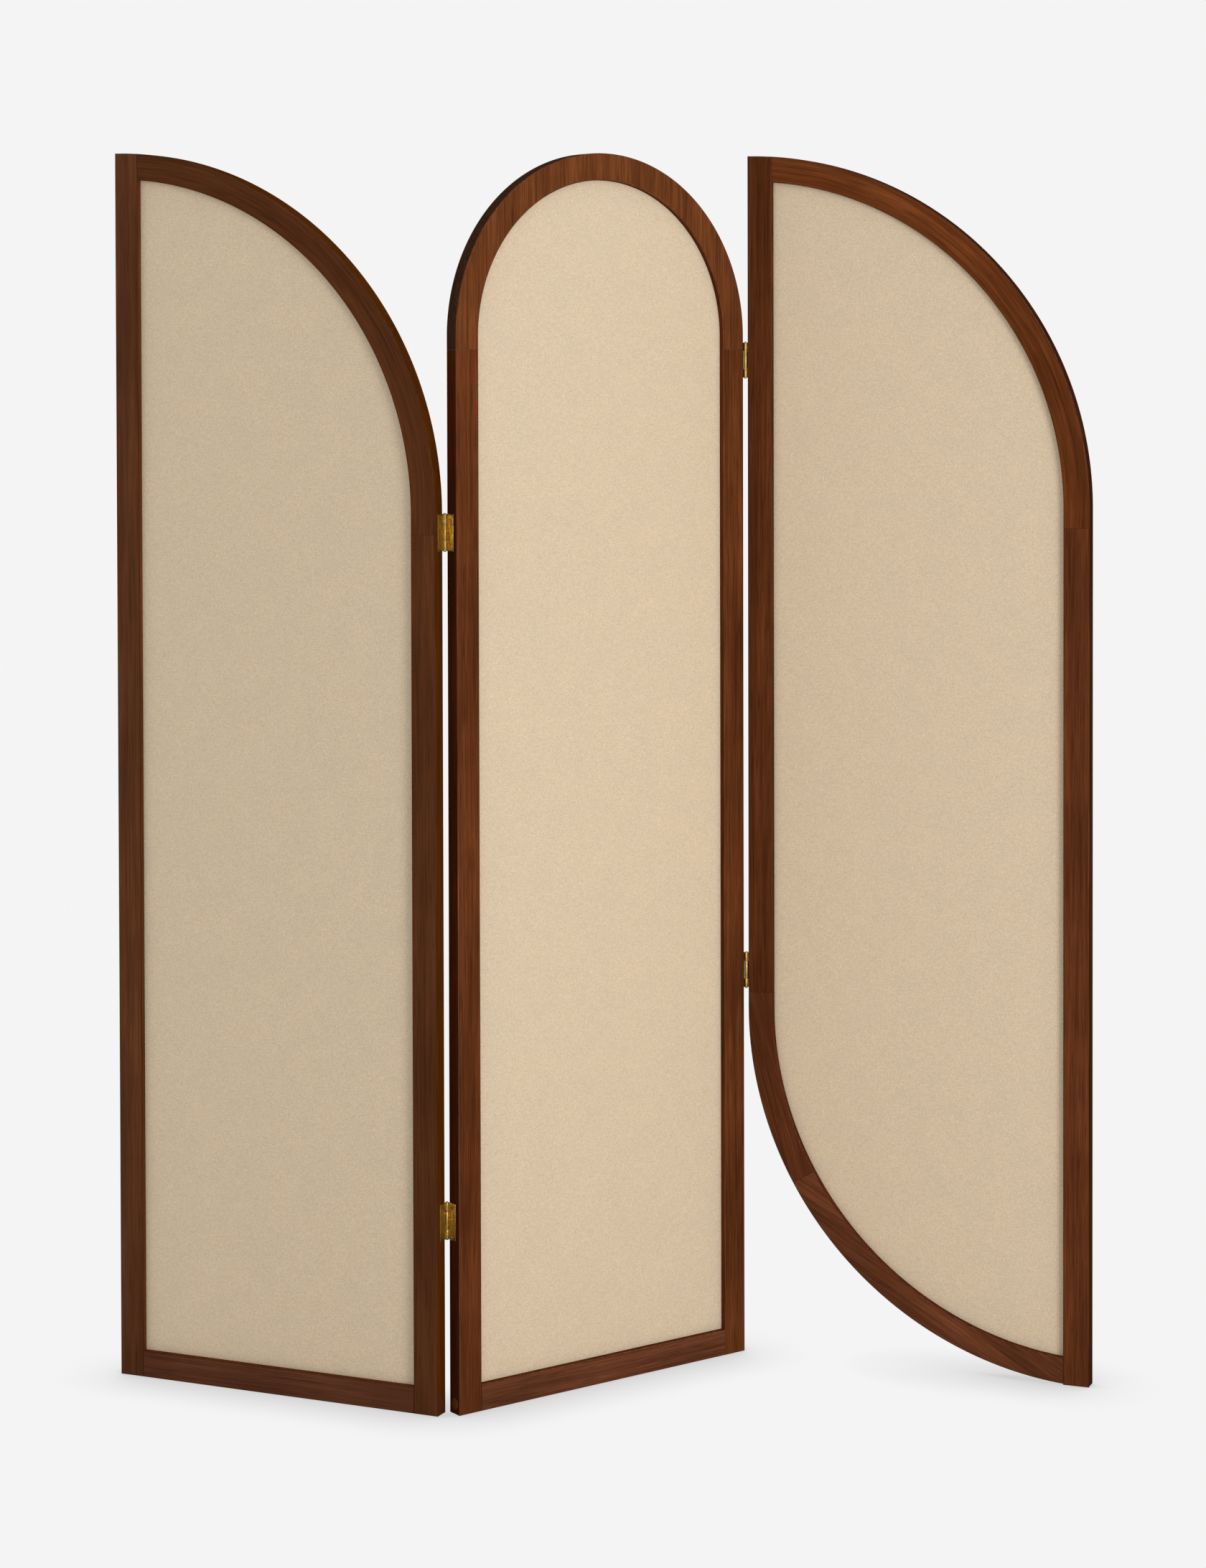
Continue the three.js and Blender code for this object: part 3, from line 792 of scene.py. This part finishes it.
def apply_modifier(made, kind, **settings):
    bpy.ops.object.select_all(action="DESELECT")
    made.select_set(True)
    bpy.context.view_layer.objects.active = made
    modifier = made.modifiers.new(kind.lower(), kind)
    for key, value in settings.items():
        setattr(modifier, key, value)
    bpy.ops.object.modifier_apply(modifier=modifier.name)


def hand_over(made, node, body, slot, *finishes):
    """The finished piece takes its node's place on the body that carries it."""
    if len(finishes) == 1:
        made.data.materials.clear()
        made.data.materials.append(finishes[0])
    else:
        for index, finish in enumerate(finishes):
            made.material_slots[index].material = finish
    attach(made, body)
    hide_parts(node)


def bore_for_plug(made, side):
    """Counterbores a stile's foot for its screw plug, with the rim very slightly rounded."""
    edge = 0 if side == "left" else WIDTH
    bpy.ops.object.select_all(action="DESELECT")
    bpy.ops.mesh.primitive_cylinder_add(
        vertices=48,
        radius=PLUG_BORE,
        depth=2 * PLUG_BORE_DEPTH,
        location=(edge, MID, PLUG_HEIGHT),
        rotation=(0, pi / 2, 0),
    )
    cutter = bpy.context.object
    apply_modifier(made, "BOOLEAN", operation="DIFFERENCE", object=cutter)
    bpy.data.objects.remove(cutter)
    bpy.ops.object.mode_set(mode="EDIT")

    def on_rim(e):
        at = sum((v.co for v in e.verts), Vector()) / 2
        reach = (at - Vector((edge, MID, PLUG_HEIGHT))).length
        return all(abs(v.co.x - edge) < CLOSE for v in e.verts) and reach < PLUG_BORE + 0.25 * MM

    ease(made, on_rim, 0.3 * MM, 1)
    bpy.ops.object.mode_set(mode="OBJECT")


# ---- Frame members ------------------------------------------------------------------------------


def at_height(z):
    """A level plane, as a point on it and its normal."""
    return ((0, 0, z), (0, 0, 1))


def stile(name, side, low, high, joints, foot_bored, curved_top=False):
    """A stile: a straight bar with rounded arrises and a groove in its inner edge."""
    x0, x1 = (0, MEMBER) if side == "left" else (STILE, WIDTH)
    made = bar(name, (x0, 0, low), (x1, THICK, high))
    if curved_top:
        # Its top follows the curve of the rail beside it, in two short flats.
        tops = [SPRING + (CORNER**2 - (i * MEMBER / 2) ** 2) ** 0.5 for i in range(3)]
        for i in (0, 1):
            rise = tops[i + 1] - tops[i]
            trim((i * MEMBER / 2, 0, tops[i]), (-rise, 0, MEMBER / 2))
    round_arrises(made, joints)
    inner = MEMBER if side == "left" else STILE
    outer = x0 if side == "left" else x1
    if low == 0:
        ease(made, on_plane((0, 0, 0), (0, 0, 1)), FOOT_EASE, 3)
    # The outer edge takes the finish with painted shade.
    paint(made, OUTER_PAINTED_SHADE, facing(0, outer))
    paint(made, INNER, facing(0, inner))
    push = -GROOVE_DEPTH if side == "left" else GROOVE_DEPTH
    plough(made, facing(0, inner), (push, 0, 0))
    close()
    if foot_bored:
        bore_for_plug(made, side)
    return made


def bottom_rail(name):
    ends = [
        ((MEMBER + JOINT, 0, 0), (1, 0, 0)),
        ((STILE - JOINT, 0, 0), (1, 0, 0)),
    ]
    made = bar(name, (MEMBER + JOINT, 0, 0), (STILE - JOINT, THICK, MEMBER))
    round_arrises(made, ends)
    paint(made, INNER, facing(2, MEMBER))
    plough(made, facing(2, MEMBER), (0, 0, -GROOVE_DEPTH))
    close()
    return made


def corner_rail(name):
    """The quarter-round rail at a panel's top right corner."""
    made = curved_bar(name, CORNER, pi / 2, TAIL - JOINT, 0, (0, 0, SPRING))
    start = (MEMBER + JOINT, 0, 0)
    trim(start, (-1, 0, 0))
    finish_curve(made, CORNER, (0, 0, SPRING), True)
    ease_ends(made, [(start, (1, 0, 0)), at_height(CORNER_JOINT + JOINT)])
    close()
    return made


def raise_arch(made):
    """Stretches what stands above the arch's springline up to its full rise."""
    pick(made, "verts", lambda v: v.co.z > ARCH_SPRING + CLOSE)
    bpy.ops.transform.resize(
        value=(1, 1, ARCH_STRETCH), center_override=(ARCH, MID, ARCH_SPRING)
    )


def arch_rail(name):
    """The arched rail over the middle panel, with a straight tail at each end."""
    made = curved_bar(name, ARCH, pi, ARCH_TAIL - JOINT, 0, (ARCH, 0, ARCH_SPRING))
    pick(
        made,
        "faces",
        lambda f: abs(f.calc_center_median().z - ARCH_SPRING) < CLOSE and f.normal.z < -0.9,
    )
    bpy.ops.mesh.extrude_region_move(TRANSFORM_OT_translate={"value": (0, 0, -ARCH_TAIL + JOINT)})
    finish_curve(made, ARCH, (ARCH, 0, ARCH_SPRING), True)
    raise_arch(made)
    ease_ends(made, [at_height(ARCH_JOINT + JOINT)])
    close()
    return made


def foot_rail(name, upper):
    """One of the two lengths of the curve under the right panel."""
    made = curved_bar(name, CORNER, pi / 2, FOOT_TAIL - JOINT, pi, (CORNER, 0, CORNER))
    end = (STILE - JOINT, 0, 0)
    trim(end, (1, 0, 0))
    # The splice runs along the radius; its normal points down the curve.
    normal = Vector((sin(SPLICE), 0, -cos(SPLICE)))
    centre = Vector((CORNER, 0, CORNER))
    half = JOINT / 2 * (-1 if upper else 1)
    splice = centre + normal * half
    trim(splice, normal if upper else -normal)
    ends = [(splice, normal)]
    if upper:
        ends.append(at_height(FOOT_JOINT - JOINT))
    else:
        ends.append((end, (1, 0, 0)))
    finish_curve(made, CORNER, (CORNER, 0, CORNER), False)
    ease_ends(made, ends)
    close()
    return made


members = [
    # name, panel, grain angle, seed, the function that makes it
    ("left_outer_stile", "left", 90, 1,
     lambda n: stile(n, "left", 0, HEIGHT, [], True, curved_top=True)),
    ("left_inner_stile", "left", 90, 2,
     lambda n: stile(n, "right", 0, CORNER_JOINT, [at_height(CORNER_JOINT)], True)),
    ("left_curved_rail", "left", -42, 3, corner_rail),
    ("left_bottom_rail", "left", 0, 4, bottom_rail),
    ("middle_left_stile", "middle", 90, 5,
     lambda n: stile(n, "left", 0, ARCH_JOINT, [at_height(ARCH_JOINT)], True)),
    ("middle_right_stile", "middle", 90, 6,
     lambda n: stile(n, "right", 0, ARCH_JOINT, [at_height(ARCH_JOINT)], True)),
    ("middle_arch_rail", "middle", 90, 7, arch_rail),
    ("middle_bottom_rail", "middle", 0, 8, bottom_rail),
    ("right_inner_stile", "right", 90, 9,
     lambda n: stile(n, "left", FOOT_JOINT, HEIGHT, [at_height(FOOT_JOINT)], False, True)),
    ("right_outer_stile", "right", 90, 10,
     lambda n: stile(n, "right", 0, CORNER_JOINT, [at_height(CORNER_JOINT)], False)),
    ("right_curved_rail", "right", -42, 11, corner_rail),
    ("right_foot_rail_upper", "right", -74, 12, lambda n: foot_rail(n, True)),
    ("right_foot_rail_lower", "right", -30, 13, lambda n: foot_rail(n, False)),
]
SLOTS = {"left": "walnut_dark", "middle": "walnut_warm", "right": "walnut_mid"}

# The edge materials: painted light on the arrises, painted shade on the outer edges, stain in the
# joints, and the inner edges' own tone.
EDGES = ("arrises", "outer edges", "joints", "inner edges")
EDGE_FINISHES_WITH_PAINTED_LIGHT = {
    panel: [
        walnut(f"stained walnut, {panel} {part}", tone, panel, 90, seed)
        for seed, part, tone in zip(range(30, 34), EDGES, tones)
    ]
    for panel, tones in EDGE_TONES_WITH_PAINTED_LIGHT.items()
}
# Walnut with painted shade for the arch's outer edge.
ARCH_OUTER_SHADE_FINISH = walnut("walnut in painted shade, arch's outer edge", ARCH_OUTER_PAINTED_SHADE, "middle", 90, 35)

for node, panel, grain, seed, make in members:
    piece = make(node + "_timber")
    stand(piece, panel)
    smooth(piece)
    bend = (0, SPRING) if make is corner_rail else None
    stain = walnut("stained walnut, " + node, STAINS[node], panel, grain, seed, bend)
    # The arrises carry painted light and the outer edges painted shade; the arch has its own
    # shade.
    arrises, outer, joints, inner = EDGE_FINISHES_WITH_PAINTED_LIGHT[panel]
    if make is arch_rail:
        outer = ARCH_OUTER_SHADE_FINISH
    hand_over(piece, node, panel, SLOTS[panel], stain, arrises, outer, joints, inner)

# ---- Screw plugs --------------------------------------------------------------------------------

for node, panel, side, member, seed in [
    ("left_outer_screw_plug", "left", "left", "left_outer_stile", 21),
    ("left_inner_screw_plug", "left", "right", "left_inner_stile", 22),
    ("middle_left_screw_plug", "middle", "left", "middle_left_stile", 23),
    ("middle_right_screw_plug", "middle", "right", "middle_right_stile", 24),
]:
    middle = PLUG_SINK + PLUG_LENGTH / 2
    bpy.ops.object.select_all(action="DESELECT")
    bpy.ops.mesh.primitive_cylinder_add(
        vertices=48,
        radius=PLUG,
        depth=PLUG_LENGTH,
        location=(middle if side == "left" else WIDTH - middle, MID, PLUG_HEIGHT),
        rotation=(0, pi / 2, 0),
    )
    piece = begin(node + "_turned")
    ease(piece, lambda e: abs(e.verts[0].co.x - e.verts[1].co.x) < CLOSE, 0.4 * MM, 2)
    close()
    stand(piece, panel)
    smooth(piece)
    stain = walnut("stained walnut, " + node, STAINS[member], panel, 90, seed)
    hand_over(piece, node, panel, SLOTS[panel], stain)

# ---- Linen sheets -------------------------------------------------------------------------------


def circle_part(name, radius, centre, cuts, quarter_steps=48):
    """Part of a flat disc that stands upright in the panel's plane."""
    bpy.ops.object.select_all(action="DESELECT")
    bpy.ops.mesh.primitive_circle_add(
        vertices=4 * quarter_steps,
        radius=radius,
        fill_type="NGON",
        location=centre,
        rotation=(pi / 2, 0, 0),
    )
    made = begin(name)
    for co, no in cuts:
        bpy.ops.mesh.select_mode(type="VERT")
        bpy.ops.mesh.select_all(action="SELECT")
        bpy.ops.mesh.bisect(plane_co=co, plane_no=no, clear_outer=True)
    return made


def lengthen(made, z, to):
    """Draws the straight edge at one height down to another."""
    pick(made, "edges", lambda e: all(abs(v.co.z - z) < CLOSE for v in e.verts))
    bpy.ops.mesh.extrude_edges_move(TRANSFORM_OT_translate={"value": (0, 0, to - z)})


IN, OUT = SHEET_INSET, WIDTH - SHEET_INSET


def quarter_sheet(name):
    """The left panel's sheet, with one round corner."""
    made = circle_part(
        name,
        CORNER - IN,
        (0, 0, SPRING),
        [((IN, 0, 0), (-1, 0, 0)), ((0, 0, SPRING), (0, 0, -1))],
    )
    lengthen(made, SPRING, IN)
    return made


def arch_sheet(name):
    """The middle panel's sheet, with a round top."""
    made = circle_part(
        name, ARCH - IN, (ARCH, 0, ARCH_SPRING), [((0, 0, ARCH_SPRING), (0, 0, -1))]
    )
    raise_arch(made)
    lengthen(made, ARCH_SPRING, IN)
    return made


def sweep_sheet(name):
    """The right panel's sheet, with a round corner over a foot that sweeps up."""
    foot = circle_part(
        name + "_foot",
        CORNER - IN,
        (CORNER, 0, CORNER),
        [((OUT, 0, 0), (1, 0, 0)), ((0, 0, CORNER), (0, 0, 1))],
    )
    close()
    made = circle_part(
        name,
        CORNER - IN,
        (0, 0, SPRING),
        [((IN, 0, 0), (-1, 0, 0)), ((0, 0, SPRING), (0, 0, -1))],
    )
    lengthen(made, SPRING, CORNER)
    bpy.ops.object.mode_set(mode="OBJECT")
    foot.select_set(True)
    made.select_set(True)
    bpy.context.view_layer.objects.active = made
    bpy.ops.object.join()
    bpy.ops.object.mode_set(mode="EDIT")
    return made


SHEETS = [("left", quarter_sheet), ("middle", arch_sheet), ("right", sweep_sheet)]
for index, (panel, make) in enumerate(SHEETS):
    for face, y, seed in (
        ("front", MID - BOARD / 2 - LAYER_GAP - SHEET, 1),
        ("back", MID + BOARD / 2 + LAYER_GAP, 2),
    ):
        node = f"{panel}_{face}_linen"
        piece = make(node + "_sheet")
        bpy.ops.mesh.select_all(action="SELECT")
        bpy.ops.mesh.remove_doubles(threshold=CLOSE)
        bpy.ops.mesh.select_all(action="SELECT")
        bpy.ops.mesh.extrude_region_move(TRANSFORM_OT_translate={"value": (0, SHEET, 0)})
        bpy.ops.mesh.select_all(action="SELECT")
        bpy.ops.transform.translate(value=(0, y, 0))
        close()
        stand(piece, panel)
        smooth(piece)
        cloth = linen(f"oatmeal linen, {node}", panel, 3 * index + seed)
        hand_over(piece, node, panel, "linen", cloth)

# ---- Hinges -------------------------------------------------------------------------------------


def clean_copy(node, name):
    """A working copy of a node, welded, with its flat faces made whole."""
    bpy.ops.object.select_all(action="DESELECT")
    made = frame["nodes"][node].copy()
    made.data = made.data.copy()
    for key in list(made.keys()):
        if key.startswith("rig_"):
            del made[key]
    made.parent = None
    made.name = name
    bpy.context.scene.collection.objects.link(made)
    made.select_set(True)
    bpy.context.view_layer.objects.active = made
    bpy.ops.object.mode_set(mode="EDIT")
    bpy.ops.mesh.select_mode(type="VERT")
    bpy.ops.mesh.select_all(action="SELECT")
    bpy.ops.mesh.remove_doubles(threshold=WELD)
    bpy.ops.mesh.select_all(action="SELECT")
    bpy.ops.mesh.dissolve_limited(angle_limit=radians(1))
    bpy.ops.object.mode_set(mode="OBJECT")
    return made


def close_notches(made, panel, at_back):
    """Brings a leaf's edge beside the other leaf's knuckles half a millimetre nearer to them."""
    origin, yaw = PANELS[panel]
    local = (Matrix.Translation(origin) @ Matrix.Rotation(yaw, 4, "Z")).inverted()
    edge = THICK - LEAF_NOTCH if at_back else LEAF_NOTCH
    bpy.ops.object.mode_set(mode="EDIT")
    pick(made, "verts", lambda v: abs((local @ v.co).y - edge) < CLOSE)
    away = Vector((0, 0.5 * MM if at_back else -0.5 * MM, 0))
    bpy.ops.transform.translate(value=Matrix.Rotation(yaw, 3, "Z") @ away)
    bpy.ops.object.mode_set(mode="OBJECT")


BODY_OF = {
    node: body
    for body, nodes in frame["record"]["behaviour"]["bodies"].items()
    for node in nodes
}

for node in sorted(frame["nodes"]):
    if "_knuckle_leaf" in node or node.endswith("_pin"):
        piece = clean_copy(node, node + "_milled")
        if "_leaf" in node:
            close_notches(piece, BODY_OF[node], node.startswith("left"))
        apply_modifier(
            piece,
            "BEVEL",
            width=0.12 * MM,
            segments=2,
            limit_method="ANGLE",
            angle_limit=radians(40),
        )
        smooth(piece, 40)
        hand_over(piece, node, BODY_OF[node], "brass", BRASS)

# A brass countersunk screw is modelled once, head outwards along -Z, and copied into each hole.
bpy.ops.object.select_all(action="DESELECT")
bpy.ops.mesh.primitive_cylinder_add(
    vertices=32, radius=SCREW_HEAD, depth=SCREW_RIM, location=(0, 0, SCREW_RIM / 2)
)
screw = begin("hinge_screw_pattern")
pick(screw, "faces", lambda f: f.normal.z > 0.9)
neck = SCREW_SHANK / SCREW_HEAD
bpy.ops.mesh.extrude_region_move(TRANSFORM_OT_translate={"value": (0, 0, SCREW_CONE)})
bpy.ops.transform.resize(value=(neck, neck, 1))
bpy.ops.mesh.extrude_region_move(TRANSFORM_OT_translate={"value": (0, 0, SCREW_SHANK_LENGTH)})
bpy.ops.mesh.extrude_region_move(TRANSFORM_OT_translate={"value": (0, 0, SCREW_TIP)})
bpy.ops.transform.resize(value=(0.05, 0.05, 1))
close()
for angle in (0, pi / 2):  # the cross slot
    bpy.ops.object.select_all(action="DESELECT")
    bpy.ops.mesh.primitive_cube_add(
        size=1, location=(0, 0, 0), scale=SCREW_SLOT, rotation=(0, 0, angle)
    )
    cutter = bpy.context.object
    apply_modifier(screw, "BOOLEAN", operation="DIFFERENCE", object=cutter)
    bpy.data.objects.remove(cutter)

HINGES = [
    # hinge, height of its middle in mm, panel on its left, panel on its right, at the back
    ("left_lower_hinge", 270.5, "left", "middle", True),
    ("left_upper_hinge", 1237.5, "left", "middle", True),
    ("right_lower_hinge", 570, "middle", "right", False),
    ("right_upper_hinge", 1476.35, "middle", "right", False),
]
for hinge, height, first, second, at_back in HINGES:
    for number, (panel, side, step) in enumerate(
        [(first, 1, -1), (first, 1, 1), (second, -1, -1), (second, -1, 1)], 1
    ):
        x = (WIDTH if side == 1 else 0) + side * LEAF_FACE
        y = THICK + PIN_PROUD - SCREW_ACROSS if at_back else SCREW_ACROSS - PIN_PROUD
        z = height * MM + step * (HINGE_HALF - HINGE_SCREW_INSET)
        piece = screw.copy()
        piece.data = screw.data.copy()
        piece.name = f"{hinge}_screw_{number}_head"
        bpy.context.scene.collection.objects.link(piece)
        bpy.ops.object.select_all(action="DESELECT")
        piece.select_set(True)
        bpy.context.view_layer.objects.active = piece
        piece.rotation_euler = (0, -side * pi / 2, 0)
        piece.location = (x, y, z)
        bpy.ops.object.transform_apply(location=True, rotation=True, scale=True)
        stand(piece, panel)
        smooth(piece)
        hand_over(piece, f"{hinge}_screw_{number}", panel, "brass", BRASS)
bpy.data.objects.remove(screw)

# ---- Boards and rail screws, which keep their solids --------------------------------------------

for node, made in frame["nodes"].items():
    if node.endswith("_board"):
        made.data.materials.clear()
        made.data.materials.append(HARDBOARD)
    if node.endswith("_rail_screw"):
        made.data.materials.clear()
        made.data.materials.append(STEEL)

# ---- Floor, world and lamps ---------------------------------------------------------------------

WHITE = "#f4f4f4"  # the backdrop
FLOOR_DROP = 0.4 * MM  # below the feet

bpy.ops.object.select_all(action="DESELECT")
bpy.ops.mesh.primitive_circle_add(
    vertices=96, radius=6, fill_type="NGON", location=(0, 0, -FLOOR_DROP)
)
floor = begin("floor")
close()
# Seamless paper. Camera rays see it glow in the backdrop's own white, with a painted contact
# shadow: it greys towards #cfcfcf where ambient occlusion finds the screen within 0.12 m of it.
# Other rays find plain white diffuse paper.
paper, tree = new_material("seamless paper")
path = add_node(tree, "ShaderNodeLightPath", {})
contact = add_node(tree, "ShaderNodeAmbientOcclusion", {"samples": 16, "Distance": 0.12})
painted_contact_shadow = add_node(
    tree,
    "ShaderNodeMapRange",
    {"From Min": 0.45, "From Max": 1},
    {"Value": contact.outputs["AO"]},
)
# Painted shadow: grey at the feet, the backdrop's white further off.
paper_with_painted_shadow = add_node(
    tree,
    "ShaderNodeMix",
    {"data_type": "RGBA", 6: colour("#cfcfcf"), 7: colour(WHITE)},
    {0: painted_contact_shadow.outputs[0]},
)
seen_paper = add_node(tree, "ShaderNodeEmission", {"Strength": 1}, {"Color": paper_with_painted_shadow.outputs[2]})
lit_paper = add_node(tree, "ShaderNodeBsdfDiffuse", {"Color": colour("#f2f2f2")})
both = add_node(
    tree,
    "ShaderNodeMixShader",
    {},
    {0: path.outputs["Is Camera Ray"], 1: lit_paper.outputs[0], 2: seen_paper.outputs[0]},
)
add_node(tree, "ShaderNodeOutputMaterial", {}, {"Surface": both.outputs[0]})
floor.data.materials.append(paper)

world = bpy.data.worlds.new("studio")
world.use_nodes = True
bpy.context.scene.world = world
tree = world.node_tree
tree.nodes.clear()
path = add_node(tree, "ShaderNodeLightPath", {})
seen = add_node(
    tree,
    "ShaderNodeMath",
    {"operation": "MAXIMUM"},
    {0: path.outputs["Is Camera Ray"], 1: path.outputs["Is Glossy Ray"]},
)
seen_through = add_node(
    tree,
    "ShaderNodeMath",
    {"operation": "MAXIMUM"},
    {0: seen.outputs[0], 1: path.outputs["Is Transmission Ray"]},
)
backdrop = add_node(tree, "ShaderNodeBackground", {"Color": colour(WHITE), "Strength": 1})
room = add_node(tree, "ShaderNodeBackground", {"Color": (1, 1, 1, 1), "Strength": 0.69})
mixed = add_node(
    tree,
    "ShaderNodeMixShader",
    {},
    {0: seen_through.outputs[0], 1: room.outputs[0], 2: backdrop.outputs[0]},
)
add_node(tree, "ShaderNodeOutputWorld", {}, {"Surface": mixed.outputs[0]})


def softbox(name, place, aim, size, power):
    """A rectangular lamp of a size in metres and a power in watts, turned towards a point."""
    data = bpy.data.lights.new(name, "AREA")
    data.shape = "RECTANGLE"
    data.size, data.size_y = size
    data.energy = power
    made = bpy.data.objects.new(name, data)
    bpy.context.scene.collection.objects.link(made)
    made.location = place
    made.rotation_euler = (Vector(aim) - Vector(place)).to_track_quat("-Z", "Y").to_euler()


softbox("key", (2.6, -3.6, 1.25), (0, 0, 0.8), (1.4, 2.4), 74)

bpy.context.scene.view_settings.view_transform = "Standard"
